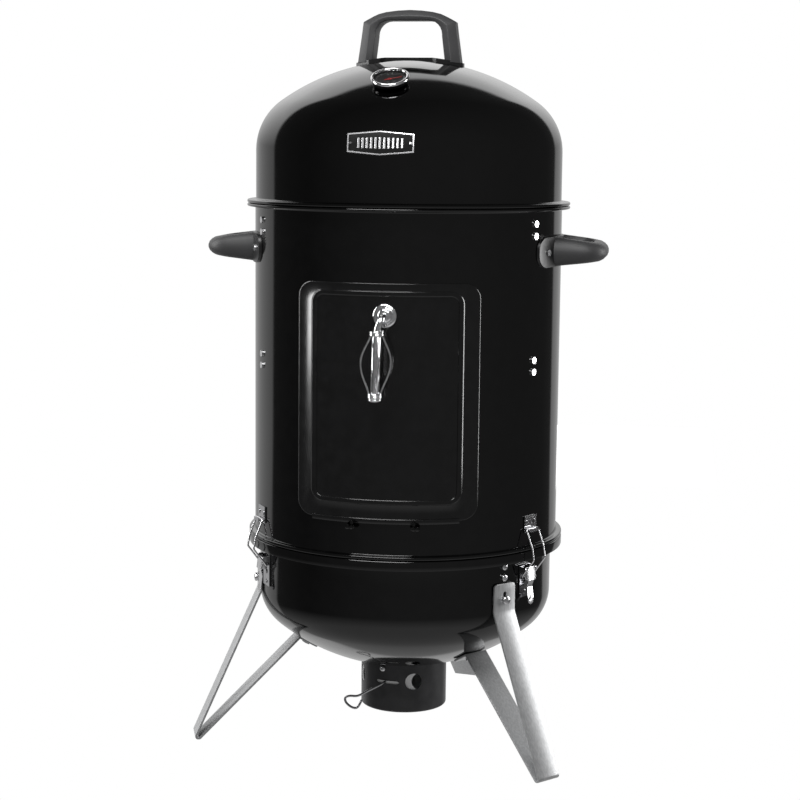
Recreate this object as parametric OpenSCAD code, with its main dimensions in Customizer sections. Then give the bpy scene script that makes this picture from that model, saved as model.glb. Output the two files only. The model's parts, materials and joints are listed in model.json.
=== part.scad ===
// Upright charcoal smoker: firebox bowl on three strap legs, barrel with a drop-down door, domed lid.
// Origin on the barrel's axis at floor level, +Z up, door towards -Y. All lengths in millimetres.

/* [Barrel] */
// Outer radius of the barrel
barrel_r = 217; // [205:1:230]
// Thickness of the enamelled sheet steel
sheet = 1.2; // [1:0.1:2]
// Height of the bowl rim's lower edge above the floor
bowl_rim_z = 284.5; // [270:0.5:300]
// Height of the barrel's upper rim above the floor
barrel_top_z = 766.7; // [740:0.1:790]

/* [Lid] */
// Outer radius of the lid's straight wall
lid_r = 216; // [204:1:229]
// Height where the lid's straight wall ends
lid_wall_top = 840.5; // [820:0.5:860]
// Radius of the lid's shoulder
lid_shoulder_r = 85; // [60:1:100]
// Radius of the lid's crown
lid_crown_r = 311; // [290:1:340]
// Angle the lid is set down at, about the barrel's axis
lid_turn = -2.4; // [-10:0.1:10]

/* [Firebox bowl] */
// Outer radius of the bowl's wall
bowl_r = 209.8; // [200:0.1:214]
// Height where the bowl's wall starts to curve in
bowl_wall_base = 217.5; // [205:0.5:225]
// Radius of the bowl's shoulder
bowl_shoulder_r = 61; // [50:1:75]
// Radius of the bowl's floor
bowl_floor_r = 294; // [280:1:320]

/* [Legs] */
// Width of the leg strap
leg_w = 38.5; // [30:0.5:45]
// Thickness of the leg strap
leg_t = 3; // [2:0.5:4]
// Distance of each foot from the axis
foot_r = 306.5; // [290:0.5:320]
// Direction of the front right leg, from the door
leg_az = 48; // [44:1:52]

/* [Door] */
// Half the angle that the door covers
door_half_az = 34.3; // [30:0.1:38]
// Height of the door's lower edge
door_z0 = 350.4; // [345:0.1:360]
// Height of the door's upper edge
door_z1 = 668.9; // [650:0.1:690]

/* [Damper] */
// Outer radius of the damper cup
cup_r = 62; // [55:1:70]
// Height of the damper cup's floor
cup_z = 39.7; // [30:0.1:60]
// Radius of each air hole
air_hole_r = 12; // [8:0.5:14]

/* [Hidden] */
$fn = 96;

enamel = [0.03, 0.03, 0.035];
steel = [0.72, 0.72, 0.74];
dark_plastic = [0.12, 0.12, 0.13];
gap = 0.3;                       // air left between pieces that move past each other
arc_steps = 16;                  // straight stretches in each profile arc

// barrel and rims
seam_z = bowl_rim_z + 13.5;      // where the barrel stands on the bowl
low_flange_r = 225.4;
low_bead_top = bowl_rim_z + 19;
top_flange_r = 228.4;
top_bead_h = 4.5;
lid_rim_z = barrel_top_z + 0.3;
lid_rim_h = 5.2;

// lid profile: straight wall, shoulder, crown
lid_crown_z = lid_wall_top - sqrt(pow(lid_crown_r - lid_shoulder_r, 2) - pow(lid_r - lid_shoulder_r, 2));
lid_join_az = atan2(lid_wall_top - lid_crown_z, lid_r - lid_shoulder_r);
lid_apex = lid_crown_z + lid_crown_r;

// bowl profile, the same the other way up
bowl_floor_z = bowl_wall_base
    + sqrt(pow(bowl_floor_r - bowl_shoulder_r, 2) - pow(bowl_r - bowl_shoulder_r, 2));
bowl_join_az = atan2(bowl_floor_z - bowl_wall_base, bowl_r - bowl_shoulder_r);
draught_hole_r = 50;

// fastener columns and levels
bracket_az = [60, -60, 180];
leg_azs = [leg_az, leg_az - 120, leg_az + 120];
upper_bracket_screws = [728.5, 745];
lower_bracket_screws = [543.7, 560];
charcoal_screws = [262.9, 278.4];
leg_bolt_z = 232.4;
screw_r = 2.5;
screw_head_r = 4.6;
bracket_w = 24;
bracket_t = 1.5;

// inner faces that the brackets stand on
barrel_face = 215.3;
bowl_face = 207.8;

// where the inner end of a leg meets the bowl's underside
under_az = 28.8;
under_point = [0, -bowl_floor_r * sin(under_az), bowl_floor_z - bowl_floor_r * cos(under_az)];
leg_face = 210.1;                // inner face of the leg's upper tab
leg_tab_top = 255.4;
leg_bend_z = 214;
tab_corner = 6;
tab_half = 15;
tab_drop = 1.7;                  // the lower tab's middle plane stands this far off the bowl
fold_r = 5 - leg_t / 2;
fold_at = [foot_r - 5, 4.6];
tab_along = [cos(under_az), sin(under_az)];
tab_middle = [-under_point[1], under_point[2]] + tab_drop * [sin(under_az), -cos(under_az)];
leg_bend = [leg_face + leg_t / 2, leg_bend_z];

// grates and pan
grate_wire_r = 2.5;
bar_r = 1.8;
upper_ledge_z = 735.5;
lower_ledge_z = 555.2;
pan_ledge_z = 538;
charcoal_ledge_z = 223.5;
grate_rim_r = 204.5;
grate_pitch = 17;
charcoal_rim_r = 190;
pan_rim_r = 196;
pan_wall_r = 186;
pan_depth = 98;

// lid handle
handle_top_z = 1036;
handle_half_w = 73.4;
handle_depth = 34;
handle_foot_z = 962;

// thermometer, on the crown
thermo_tilt = 28.1;
thermo_r = 26;
thermo_h = 11;

// lid vent, at the back
vent_tilt = 36;
vent_r = 30;
vent_hole_r = 7;
vent_hole_ring = 17;

// door and its handle
opening_half_az = 30.8;
opening_z0 = door_z0 + 11;
opening_z1 = door_z1 - 12;
door_r = barrel_r + gap;         // inner face of the door
door_skin_r = door_r + sheet;    // outer face of the door
hinge_y = -223.5;
hinge_z = 342.5;
hinge_x = 42;
hinge_pin_r = 2;
lug_r = 3.5;
tongue_o = 200;                  // inner face of the latch tongue
knob_z = 626.2;
spindle_r = 5;
grip_o = 246;                    // distance of the grip's centre line from the barrel's axis
grip_top = 609;
grip_bottom = 519;
grip_x = -6.5;
cage_r = 20.5;
cage_wire_r = 1.3;

// latches, in the radial plane (o = outwards from the axis, z = height)
pivot_o = 217;
pivot_z = 270;
bail_o = 215.2;
bail_z = 260.2;
bail_wire_r = 1.25;
bail_half_w = 15;
bar_o = 221.5;
bar_z = 327;

// damper
slot_az0 = -31.5;
slot_az1 = 1.9;
slot_z = 83.6;
slot_half_h = 2.2;
tail_az = -18;
tail_r = 1.6;
air_hole_az = [21, 111, 201, -69];
air_hole_z = 85.5;
ring_turn = 9;                   // how far the ring's holes stand from fully open

function arc(cx, cz, r, a0, a1, n = arc_steps) =
    [for (i = [0:n]) let (a = a0 + (a1 - a0) * i / n) [cx + r * cos(a), cz + r * sin(a)]];
function reverse(list) = [for (i = [len(list) - 1:-1:0]) list[i]];
// lid wall, shoulder and crown, pulled in by t from the outer skin
function lid_curve(t) = concat(
    [[lid_r - t, lid_rim_z]],
    arc(lid_r - lid_shoulder_r, lid_wall_top, lid_shoulder_r - t, 0, lid_join_az),
    arc(0, lid_crown_z, lid_crown_r - t, lid_join_az, 90));
function bowl_curve(t) = concat(
    arc(0, bowl_floor_z, bowl_floor_r - t, -90, -bowl_join_az),
    arc(bowl_r - bowl_shoulder_r, bowl_wall_base, bowl_shoulder_r - t, -bowl_join_az, 0),
    [[bowl_r - t, seam_z - sheet]]);

module turn(az) { rotate([0, 0, az]) children(); }
// a round bar along the radius at azimuth az, from o0 out to o1
module radial_bar(az, z, o0, o1, r, x = 0) {
    turn(az) translate([x, -o0, z]) rotate([90, 0, 0]) cylinder(h = o1 - o0, r = r);
}
// box in the radial frame: x along the tangent, o outwards, z up
module radial_box(az, x0, x1, o0, o1, z0, z1) {
    turn(az) translate([x0, -o1, z0]) cube([x1 - x0, o1 - o0, z1 - z0]);
}
// a straight round rod between two points
module rod(a, b, r) {
    d = b - a;
    l = norm(d);
    translate(a) rotate([0, acos(d[2] / l), atan2(d[1], d[0])]) cylinder(h = l, r = r);
}
module bent_rod(points, r) {
    for (i = [0:len(points) - 2]) rod(points[i], points[i + 1], r);
    for (p = points) translate(p) sphere(r = r * 1.04);
}
module tube(r0, r1, z0, z1) {
    translate([0, 0, z0]) difference() {
        cylinder(h = z1 - z0, r = r1);
        translate([0, 0, -1]) cylinder(h = z1 - z0 + 2, r = r0);
    }
}
module rounded_rect(w, h, r) {
    square([w - 2 * r, h], center = true);
    square([w, h - 2 * r], center = true);
    for (x = [-1, 1], y = [-1, 1]) translate([x * (w / 2 - r), y * (h / 2 - r)]) circle(r = r);
}
// rounded window on the front of the barrel, from az -half to +half, as a block along Y
module front_window(half, r_at, z0, z1, corner) {
    x = r_at * sin(half) - corner;
    y = (z1 - z0) / 2 - corner;
    translate([0, -150, (z0 + z1) / 2]) rotate([90, 0, 0]) linear_extrude(100) polygon(concat(
        arc(x, y, corner, 0, 90, 9), arc(-x, y, corner, 90, 180, 9),
        arc(-x, -y, corner, 180, 270, 9), arc(x, -y, corner, 270, 360, 9)));
}
// part of a cylindrical shell seen through a front window
module front_shell(r0, r1, half, z0, z1, corner) {
    intersection() {
        tube(r0, r1, z0 - 1, z1 + 1);
        front_window(half, r1, z0, z1, corner);
    }
}
// the crown's own frame: origin on the outer skin, +Z outwards
module on_crown(az, tilt) {
    turn(az) translate([0, 0, lid_crown_z]) rotate([tilt, 0, 0]) translate([0, 0, lid_crown_r]) children();
}
module ring_wire(r, z, wire) {
    translate([0, 0, z]) rotate_extrude() translate([r, 0]) circle(r = wire, $fn = 24);
}

// ---------- lid ----------
module lid_shell() color(enamel) {
    difference() {
        union() {
            rotate_extrude($fn = 180) polygon(concat(lid_curve(0), reverse(lid_curve(sheet))));
            tube(lid_r - sheet, top_flange_r, lid_rim_z, lid_rim_z + lid_rim_h);
            tube(barrel_r - 3 * sheet - gap, lid_r - sheet, lid_rim_z - 9, lid_rim_z + lid_rim_h);
        }
        turn(lid_turn) {
            on_crown(0, thermo_tilt) translate([0, 0, -10]) cylinder(h = 20, r = 4.1);
            for (x = [-1, 1]) translate([x * 60, 0, lid_apex - 20]) cylinder(h = 30, r = 3.1);
            on_crown(180, vent_tilt) {
                translate([0, 0, -10]) cylinder(h = 20, r = 2.6);
                for (a = [0:120:240])
                    rotate(a) translate([vent_hole_ring, 0, -10]) cylinder(h = 20, r = vent_hole_r);
            }
        }
    }
}
module handle_outline() {
    polygon([[-handle_half_w, handle_foot_z - 8], [-65.5, 1019.5], [-42, 1031.5], [-20, 1035.2], [0, handle_top_z],
        [20, 1035.2], [42, 1031.5], [65.5, 1019.5], [handle_half_w, handle_foot_z - 8]]);
}
module handle_opening() {
    polygon([[-51.5, handle_foot_z - 10], [-47, 1000], [47, 1000], [51.5, handle_foot_z - 10]]);
    translate([0, 1001.5]) rounded_rect(94, 40, 19.5);
}
module lid_handle() color(dark_plastic) turn(lid_turn) difference() {
    rotate([90, 0, 0]) translate([0, 0, -handle_depth / 2]) linear_extrude(handle_depth) difference() {
        handle_outline();
        handle_opening();
    }
    translate([0, 0, lid_crown_z]) sphere(r = lid_crown_r + 5, $fn = 200);
    for (x = [-1, 1]) translate([x * 60, 0, 940]) cylinder(h = 42, r = 3);
}
module lid_handle_base() color(dark_plastic) turn(lid_turn) difference() {
    intersection() {
        translate([0, 0, lid_crown_z]) sphere(r = lid_crown_r + 5, $fn = 200);
        translate([0, 0, 930]) linear_extrude(60) polygon([[-76, -7], [-56, -19], [-40, -19], [-34, -13], [34, -13],
            [40, -19], [56, -19], [76, -7], [76, 7], [56, 19], [40, 19], [34, 13], [-34, 13], [-40, 19], [-56, 19],
            [-76, 7]]);
    }
    translate([0, 0, lid_crown_z]) sphere(r = lid_crown_r, $fn = 200);
    translate([0, 0, 974.3]) rotate([90, 0, 0]) linear_extrude(60, center = true) square([76, 8], center = true);
    for (x = [-1, 1]) translate([x * 60, 0, 940]) cylinder(h = 42, r = 3);
}
module lid_handle_screws() color(steel) turn(lid_turn) for (x = [-60, 60]) translate([x, 0, 0]) {
    translate([0, 0, 948]) cylinder(h = 32, r = 3);
    translate([0, 0, 944.5]) cylinder(h = 3.6, r = 6);
}
module lid_vent_disc() color(steel) turn(lid_turn) on_crown(180, vent_tilt) difference() {
    union() {
        translate([0, 0, 1.8]) cylinder(h = 1.2, r = vent_r);
        translate([-6, -vent_r - 14, 1.8]) cube([12, 18, 1.2]);
        translate([-6, -vent_r - 14, 1.8]) cube([12, 1.2, 11]);
    }
    translate([0, 0, -1]) cylinder(h = 8, r = 2.55);
    for (a = [60:120:300]) rotate(a) translate([vent_hole_ring, 0, 0]) cylinder(h = 6, r = vent_hole_r);
}
module lid_vent_rivet() color(steel) turn(lid_turn) on_crown(180, vent_tilt) {
    translate([0, 0, -5]) cylinder(h = 8.4, r = 2.5);
    translate([0, 0, 3.3]) cylinder(h = 2, r = 5);
    translate([0, 0, -sheet - 2.6]) cylinder(h = 2, r = 5);
    translate([0, 0, 0.05]) difference() {
        cylinder(h = 1.45, r = 6);
        translate([0, 0, -1]) cylinder(h = 4, r = 2.5);
    }
}

// ---------- thermometer ----------
module on_thermometer() { turn(lid_turn) on_crown(0, thermo_tilt) children(); }
module thermometer_case() color([0.2, 0.2, 0.21]) on_thermometer() difference() {
    translate([0, 0, 0.6]) cylinder(h = thermo_h - 4.6, r = thermo_r - 2);
    translate([0, 0, 2]) cylinder(h = thermo_h, r = thermo_r - 3.2);
    translate([0, 0, -1]) cylinder(h = 5, r = 4);
}
module thermometer_bezel() color(steel) on_thermometer() difference() {
    translate([0, 0, thermo_h - 4]) cylinder(h = 4, r = thermo_r);
    translate([0, 0, thermo_h - 5]) cylinder(h = 6, r = thermo_r - 4);
    translate([0, 0, thermo_h - 3]) cylinder(h = 1.2, r = thermo_r - 3.2);
}
module thermometer_dial() color([0.08, 0.08, 0.08]) on_thermometer() difference() {
    translate([0, 0, 4]) cylinder(h = 0.8, r = thermo_r - 3.3);
    translate([0, 0, 3]) cylinder(h = 3, r = 1.3);
}
module thermometer_glass() color([0.8, 0.85, 0.9, 0.3]) on_thermometer()
    translate([0, 0, thermo_h - 2.95]) cylinder(h = 1.1, r = thermo_r - 3.3);
module thermometer_needle() color([0.75, 0.1, 0.08]) on_thermometer() difference() {
    union() {
        translate([0, 0, 5.3]) cylinder(h = 1, r = 2.4);
        rotate([0, 0, 24]) translate([-8, -0.7, 5.45]) cube([24, 1.4, 0.7]);
    }
    translate([0, 0, 4]) cylinder(h = 4, r = 0.85);
}
module thermometer_stem() color(steel) on_thermometer() {
    translate([0, 0, 0]) cylinder(h = 4, r = 4);
    translate([0, 0, -9]) cylinder(h = 9, r = 4);
    translate([0, 0, -62]) cylinder(h = 53.5, r = 2.6);
    translate([0, 0, 4]) cylinder(h = 2, r = 0.8);
}
module thermometer_nut() color(steel) on_thermometer() difference() {
    translate([0, 0, -sheet - 4.2]) cylinder(h = 4, r = 8, $fn = 6);
    translate([0, 0, -8]) cylinder(h = 10, r = 4);
}
module plate_outline(grow) {
    polygon([[-44.5 - grow, -11], [-30, -14.5 - grow], [30, -14.5 - grow], [44.5 + grow, -11],
        [44.5 + grow, 11], [0, 16 + grow], [-44.5 - grow, 11]]);
}
module nameplate() color(steel) turn(lid_turn) difference() {
    intersection() {
        rotate_extrude($fn = 180) polygon(concat(lid_curve(-1.4), reverse(lid_curve(0))));
        translate([0, -150, 851.5]) rotate([90, 0, 0]) linear_extrude(100) plate_outline(0);
    }
    for (x = [-40, 40]) translate([x, -150, 851.5]) rotate([90, 0, 0]) cylinder(h = 100, r = 1.5);
}
module nameplate_rivets() color(steel) turn(lid_turn) for (x = [-40, 40])
    translate([x, 0, 851.5]) intersection() {
        translate([0, -150, 0]) rotate([90, 0, 0]) cylinder(h = 100, r = 1.45);
        translate([-x, 0, -851.5]) rotate_extrude($fn = 180) polygon(concat(lid_curve(-2.4), reverse(lid_curve(0.0))));
    }

// ---------- barrel ----------
module barrel_shell() color(enamel) difference() {
    union() {
        tube(barrel_r - sheet, barrel_r, seam_z + gap, barrel_top_z);
        tube(barrel_r - sheet / 2, low_flange_r, seam_z + gap, low_bead_top);
        tube(barrel_r - sheet / 2, top_flange_r, barrel_top_z - top_bead_h, barrel_top_z);
    }
    front_window(opening_half_az, barrel_r, opening_z0, opening_z1, 14);
    for (a = bracket_az, z = concat(upper_bracket_screws, lower_bracket_screws))
        radial_bar(a, z, 200, 230, screw_r);
    for (a = bracket_az, x = [-9, 9]) radial_bar(a, 336, 200, 230, 1.5, x);
    for (a = [90, -90], s = [-1, 1]) radial_bar(a + s * 22, 705.3, 200, 230, screw_r);
}
module side_handle(az) color(dark_plastic) turn(az) difference() {
    intersection() {
        translate([0, 0, 684.5]) linear_extrude(41.5) difference() {
            union() {
                translate([0, -(214 + 284) / 2 + 12]) square([128, 284 - 214 - 24], center = true);
                translate([0, -246]) rounded_rect(128, 76, 30);
            }
            translate([0, -232]) rounded_rect(90, 62, 16);
            circle(r = barrel_r + 3.4, $fn = 180);
        }
        rotate([0, -90, 0]) linear_extrude(200, center = true)
            polygon([[684.5, -210], [693, -285], [717, -285], [726, -210]]);
    }
}
module side_handle_right() side_handle(90);
module side_handle_left() side_handle(-90);
module side_handle_brackets() color([0.05, 0.05, 0.05]) for (a = [90, -90]) turn(a) difference() {
    intersection() {
        tube(barrel_r, barrel_r + 3.3, 680, 730);
        translate([0, -150, 705.3]) rotate([90, 0, 0]) linear_extrude(100) rounded_rect(2 * 104, 41, 18);
    }
    for (s = [-1, 1]) radial_bar(s * 22, 705.3, 200, 230, screw_r);
}
module side_handle_screws() color(steel) for (a = [90, -90], s = [-1, 1]) {
    radial_bar(a + s * 22, 705.3, barrel_r - 5.6, barrel_r + 3.4, screw_r - 0.05);
    radial_bar(a + s * 22, 705.3, barrel_r - 5.5, barrel_r - 2, screw_head_r);
    radial_bar(a + s * 22, 705.3, barrel_r + 3.4, barrel_r + 5.6, screw_head_r);
}
module bracket_plate(az, face, z0, z1) {
    radial_box(az, -bracket_w / 2, bracket_w / 2, face - bracket_t, face, z0, z1);
}
module bracket_ledge(az, inner, face, top) {
    radial_box(az, -bracket_w / 2, bracket_w / 2, inner, face - bracket_t / 2, top - bracket_t, top);
}
module upper_grate_brackets() color(steel) for (a = bracket_az) difference() {
    union() {
        bracket_plate(a, barrel_face, 721, 752);
        bracket_ledge(a, 199, barrel_face, upper_ledge_z);
    }
    for (z = upper_bracket_screws) radial_bar(a, z, 200, 230, screw_r);
}
module lower_grate_brackets() color(steel) for (a = bracket_az) difference() {
    union() {
        bracket_plate(a, barrel_face, 530, 568);
        bracket_ledge(a, 199, barrel_face, lower_ledge_z);
        bracket_ledge(a, 188, barrel_face, pan_ledge_z);
    }
    for (z = lower_bracket_screws) radial_bar(a, z, 200, 230, screw_r);
}
module bracket_screws() color(steel)
    for (a = bracket_az, z = concat(upper_bracket_screws, lower_bracket_screws)) {
    radial_bar(a, z, 209, barrel_r + 0.2, screw_r - 0.05);
    radial_bar(a, z, barrel_r + 0.1, barrel_r + 2.6, screw_head_r);
}
module bracket_nuts() color(steel)
    for (a = bracket_az, z = concat(upper_bracket_screws, lower_bracket_screws))
    difference() {
        turn(a) translate([0, -210.6, z]) rotate([90, 0, 0]) cylinder(h = 3.1, r = 4.4, $fn = 6);
        radial_bar(a, z, 200, 230, screw_r);
    }
module latch_catches() color(steel) for (a = bracket_az) difference() {
    union() {
        radial_box(a, -14, 14, barrel_r + 0.2, barrel_r + 1.7, 322, 345);
        radial_box(a, -10, 10, barrel_r + 0.2, 226.5, bar_z - 3.4, bar_z - 1.9);
        radial_box(a, -10, 10, 225, 226.5, bar_z - 3.4, bar_z + 1.5);
    }
    for (x = [-9, 9]) radial_bar(a, 336, 200, 230, 1.5, x);
}
module door_hinge_lugs() color(enamel) difference() {
    for (s = [-1, 1]) union() {
        translate([s * hinge_x - 2 + s * 5, hinge_y, hinge_z - lug_r]) cube([4, 12.5, 2 * lug_r]);
        translate([s * hinge_x - 2 + s * 5, hinge_y, hinge_z]) rotate([0, 90, 0]) cylinder(h = 4, r = lug_r);
    }
    cylinder(h = 400, r = barrel_r);
    translate([-100, hinge_y, hinge_z]) rotate([0, 90, 0]) cylinder(h = 200, r = hinge_pin_r);
}
module door_hinge_pins() color(steel) for (s = [-1, 1])
    translate([s * (hinge_x + 2) - 6, hinge_y, hinge_z]) rotate([0, 90, 0]) cylinder(h = 12, r = hinge_pin_r);

// ---------- door ----------
module door_panel() color(enamel) difference() {
    union() {
        front_shell(door_r, door_skin_r, door_half_az, door_z0, door_z1, 21);
        difference() {
            front_shell(door_skin_r, door_skin_r + 1.3, 28.2, 372, 659, 18);
            front_window(26.4, barrel_r, 378.5, 652.5, 14);
        }
        front_shell(door_r, door_skin_r + 1.6, 27, door_z0 - 4, door_z0 + 4, 1);
        for (s = [-1, 1]) union() {
            translate([s * hinge_x - 2, hinge_y, hinge_z]) rotate([0, 90, 0]) cylinder(h = 4, r = 4);
            translate([s * hinge_x - 2, hinge_y, hinge_z]) cube([4, 12, door_z0 + 2 - hinge_z]);
        }
    }
    translate([0, 0, -1]) cylinder(h = 700, r = door_r);
    translate([-100, hinge_y, hinge_z]) rotate([0, 90, 0]) cylinder(h = 200, r = hinge_pin_r + 0.06);
    radial_bar(0, knob_z, 200, 240, spindle_r + 0.06);
}
module handle_rosette() color(steel) difference() {
    union() {
        radial_bar(0, knob_z, door_skin_r + 0.1, door_skin_r + 3, 16);
        radial_bar(0, knob_z, door_skin_r + 3, door_skin_r + 6, 9.5);
    }
    radial_bar(0, knob_z, 200, 240, spindle_r + 0.06);
}
module handle_spindle() color(steel) radial_bar(0, knob_z, tongue_o - 2, 233, spindle_r);
module handle_arm() color(steel) {
    bent_rod([[0, -233 - 5, knob_z + 0.5], [-1, -243, knob_z - 6], [-3, -grip_o, knob_z - 12],
        [grip_x, -grip_o, grip_top]], 4.6);
    radial_bar(0, knob_z, 233, 238, 6.5);
}
module handle_collars() color(steel) difference() {
    union() {
        translate([grip_x, -grip_o, grip_top - 8]) cylinder(h = 8, r = 10);
        translate([grip_x - 2, -grip_o, grip_bottom]) cylinder(h = 8, r = 10);
    }
    rod([grip_x, -grip_o, grip_top - 9], [grip_x - 2, -grip_o, grip_bottom - 2], 6);
    translate([grip_x, -grip_o, grip_top]) sphere(r = 4.65);
}
module handle_core() color(steel) difference() {
    rod([grip_x - 0.2, -grip_o, grip_top - 8], [grip_x - 2, -grip_o, grip_bottom], 6);
    translate([grip_x, -grip_o, grip_top]) sphere(r = 4.65);
}
function cage_point(a, k) = let (r = 8.2 + (cage_r - 8.2) * sin(180 * pow(k, 0.9)))
    [grip_x - 2 * k + r * cos(a), -grip_o + r * sin(a), grip_top - 8 - k * (grip_top - grip_bottom - 16)];
module handle_cage() color(steel) for (a = [20:90:290])
    bent_rod([for (i = [0:7]) cage_point(a, i / 7)], cage_wire_r);
module handle_cap() color(steel) translate([grip_x - 2, -grip_o, grip_bottom - 4]) {
    cylinder(h = 4, r = 9);
    translate([0, 0, -1]) cylinder(h = 1, r = 5);
}
module latch_tongue() color(steel) {
    difference() {
        union() {
            radial_box(0, -8, 38, tongue_o, tongue_o + 2, knob_z - 7, knob_z + 7);
            radial_bar(0, knob_z, tongue_o - 2, tongue_o, 8);
        }
        radial_bar(0, knob_z, tongue_o - 5, tongue_o + 5, spindle_r);
    }
}

// ---------- bowl and legs ----------
module bowl_shell() color(enamel) difference() {
    union() {
        rotate_extrude($fn = 180) polygon(concat(bowl_curve(0), reverse(bowl_curve(sheet))));
        tube(bowl_r - sheet, low_flange_r, seam_z - sheet, seam_z);
        tube(low_flange_r - sheet, low_flange_r, bowl_rim_z, seam_z);
    }
    cylinder(h = 200, r = draught_hole_r);
    for (a = leg_azs) {
        for (z = charcoal_screws) radial_bar(a, z, 190, 230, screw_r);
        radial_bar(a, leg_bolt_z, 190, 230, 3);
        turn(a) on_underside() translate([0, 0, -10]) cylinder(h = 20, r = 3);
    }
    for (a = bracket_az, z = [236, 250]) radial_bar(a, z, 190, 230, 1.5);
}
function unit(v) = v / norm(v);
function left_of(v) = [-v[1], v[0]];
// the edge of a strap, d to the left of its middle line
function strap_edge(points, d) = [for (i = [0:len(points) - 1]) let (
    last = len(points) - 1,
    before = unit(points[max(i, 1)] - points[max(i, 1) - 1]),
    after = unit(points[min(i, last - 1) + 1] - points[min(i, last - 1)]),
    out = unit(left_of(before) + left_of(after))) points[i] + out * d / (out * left_of(before))];
function strap_outline(points, t) = concat(strap_edge(points, t / 2), reverse(strap_edge(points, -t / 2)));
// direction of the straight from p that just touches the foot's fold, on side s
function touch_az(p, s) = atan2(fold_at[1] - p[1], fold_at[0] - p[0]) + s * asin(fold_r / norm(fold_at - p));
leg_path = concat(
    [[leg_bend[0], leg_tab_top], leg_bend],
    arc(fold_at[0], fold_at[1], fold_r, touch_az(leg_bend, 1) + 90,
        touch_az(tab_middle + tab_half * tab_along, -1) - 90, 10),
    [tab_middle + tab_half * tab_along, tab_middle - tab_half * tab_along]);

module on_underside() { translate(under_point) rotate([-under_az, 0, 0]) children(); }
module leg(az) color(steel) turn(az) difference() {
    rotate([90, 0, -90]) linear_extrude(leg_w, center = true) polygon(strap_outline(leg_path, leg_t));
    translate([-50, -400, -20]) cube([100, 400, 20]);
    for (s = [-1, 1]) difference() {
        translate([s * (leg_w / 2 - tab_corner) - (s < 0 ? 10 : 0), -230, leg_tab_top - tab_corner])
            cube([10, 30, 10]);
        radial_bar(0, leg_tab_top - tab_corner, 190, 240, tab_corner, s * (leg_w / 2 - tab_corner));
    }
    radial_bar(0, leg_bolt_z, 190, 230, 3);
    on_underside() translate([0, 0, -20]) cylinder(h = 40, r = 3);
}
module leg_right() leg(leg_azs[0]);
module leg_left() leg(leg_azs[1]);
module leg_rear() leg(leg_azs[2]);
module leg_bolts() color(steel) for (a = leg_azs) {
    radial_bar(a, leg_bolt_z, 199, leg_face + leg_t + 0.1, 2.95);
    radial_bar(a, leg_bolt_z, leg_face + leg_t, leg_face + leg_t + 3.6, 6);
    turn(a) on_underside() {
        translate([0, 0, -tab_drop - leg_t / 2 - 0.1]) cylinder(h = 11, r = 2.95);
        translate([0, 0, -tab_drop - leg_t / 2 - 4]) cylinder(h = 4, r = 6);
    }
}
module leg_nuts() color(steel) for (a = leg_azs) {
    difference() {
        turn(a) translate([0, -201.9, leg_bolt_z]) rotate([90, 0, 0]) cylinder(h = 4, r = 5.6, $fn = 6);
        radial_bar(a, leg_bolt_z, 190, 230, 3);
    }
    turn(a) on_underside() difference() {
        translate([0, 0, sheet + 0.3]) cylinder(h = 4, r = 5.6, $fn = 6);
        cylinder(h = 30, r = 3, center = true);
    }
    for (z = charcoal_screws) {
        radial_bar(a, z, 202, bowl_r + 0.2, screw_r - 0.05);
        radial_bar(a, z, bowl_r + 0.1, bowl_r + 2.6, screw_head_r);
        radial_bar(a, z, 202.5, 206.2, 4.4);
    }
}
module charcoal_brackets() color(steel) for (a = leg_azs) difference() {
    union() {
        bracket_plate(a, bowl_face, charcoal_ledge_z - bracket_t, 284);
        bracket_ledge(a, 182, bowl_face, charcoal_ledge_z);
    }
    for (z = charcoal_screws) radial_bar(a, z, 190, 230, screw_r);
    radial_bar(a, leg_bolt_z, 190, 230, 3);
}

// ---------- latches ----------
module latch_bases() color(steel) for (a = bracket_az) difference() {
    union() {
        radial_box(a, -13, 13, bowl_r + 0.2, bowl_r + 1.7, 230, 276);
        for (s = [-1, 1]) union() {
            radial_box(a, s * 12.25 - 0.75, s * 12.25 + 0.75, bowl_r + 1, pivot_o, pivot_z - 4, pivot_z + 4);
            turn(a) translate([s * 12.25 - 0.75, -pivot_o, pivot_z]) rotate([0, 90, 0])
                cylinder(h = 1.5, r = 4);
        }
    }
    turn(a) translate([-20, -pivot_o, pivot_z]) rotate([0, 90, 0]) cylinder(h = 40, r = 2);
    for (z = [236, 250]) radial_bar(a, z, 190, 230, 1.5);
}
module latch_pins() color(steel) for (a = bracket_az)
    turn(a) translate([-13.4, -pivot_o, pivot_z]) rotate([0, 90, 0]) cylinder(h = 26.8, r = 1.98);
module latch_rivets() color(steel) for (a = bracket_az) {
    for (z = [236, 250]) {
        radial_bar(a, z, bowl_r - 2, bowl_r + 1.8, 1.45);
        radial_bar(a, z, bowl_r + 1.7, bowl_r + 2.9, 3);
        radial_bar(a, z, bowl_r - sheet - 1.6, bowl_r - sheet - 0.4, 3);
    }
    for (x = [-9, 9]) {
        radial_bar(a, 336, barrel_r - 3, barrel_r + 1.8, 1.45, x);
        radial_bar(a, 336, barrel_r + 1.7, barrel_r + 2.8, 3, x);
        radial_bar(a, 336, barrel_r - 3, barrel_r - sheet - 0.9, 3, x);
    }
}
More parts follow.
